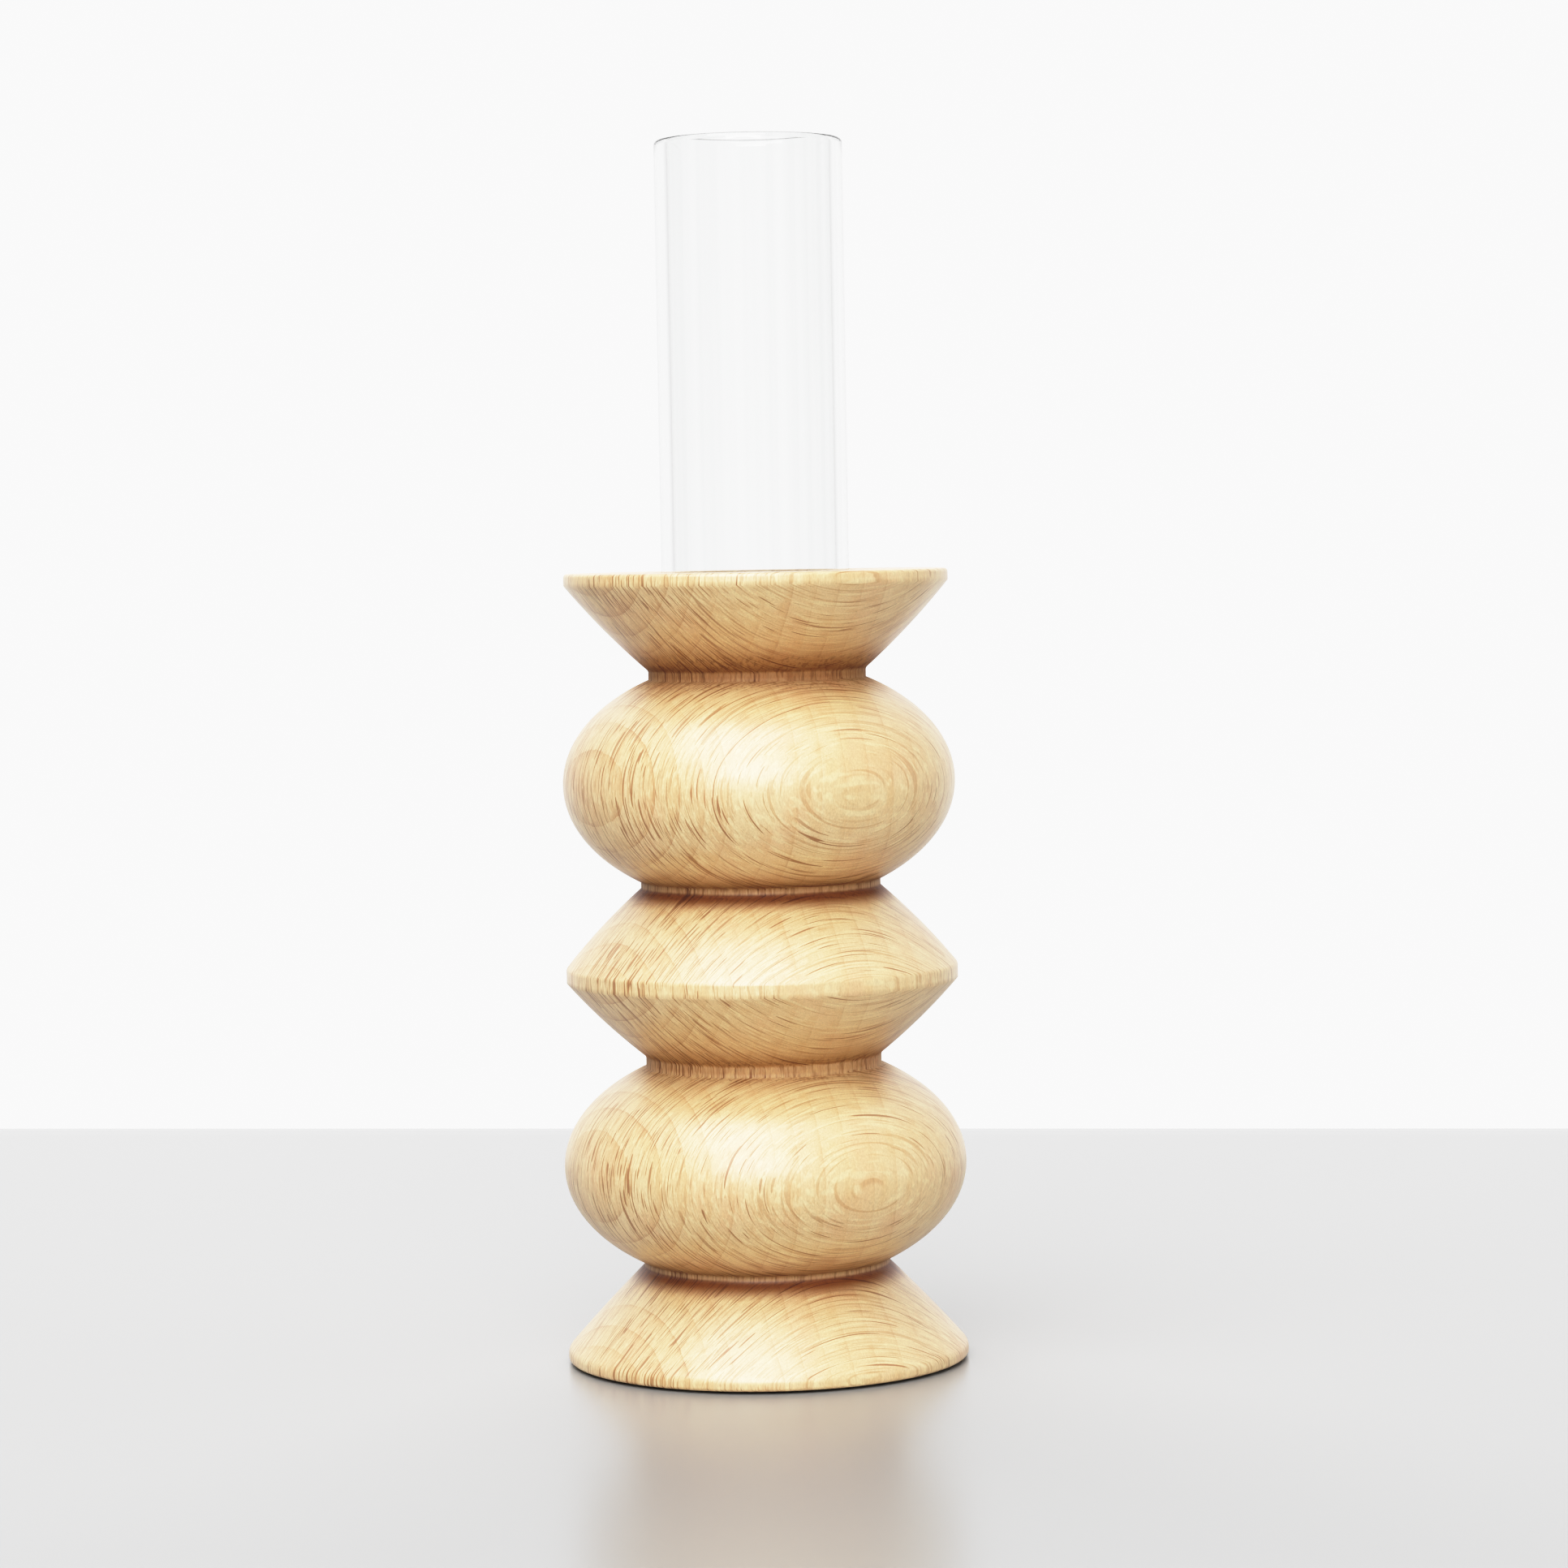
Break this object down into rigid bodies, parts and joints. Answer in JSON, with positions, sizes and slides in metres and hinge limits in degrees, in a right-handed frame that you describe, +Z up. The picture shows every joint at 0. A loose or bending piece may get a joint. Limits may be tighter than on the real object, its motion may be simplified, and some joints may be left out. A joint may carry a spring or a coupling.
{
  "type": "candlestick",
  "caption": "Turned wooden candlestick of stacked cones and beads, with a clear glass tube that lifts out of the bore in its top.",
  "frame": {"origin": "middle of the underside, on the surface that the candlestick stands on", "axes": "+Z up along the turning axis; the part is round about +Z"},
  "size_m": [0.0646, 0.0646, 0.1952],
  "materials": {
    "beech": "pale beech, turned, satin oil or lacquer",
    "clear_glass": "clear, drawn tube, fire-polished rim",
    "felt": "dark brown pressed felt"
  },
  "bodies": {
    "holder": {"turned_body": "beech", "base_pad": "felt", "tube_cushion": "felt"},
    "tube": {"glass_tube": "clear_glass"}
  },
  "joints": [
    {"name": "tube_lift", "type": "slide", "parent": "holder", "child": "tube", "axis": [0, 0, 1], "range_m": [0, 0.02]}
  ]
}
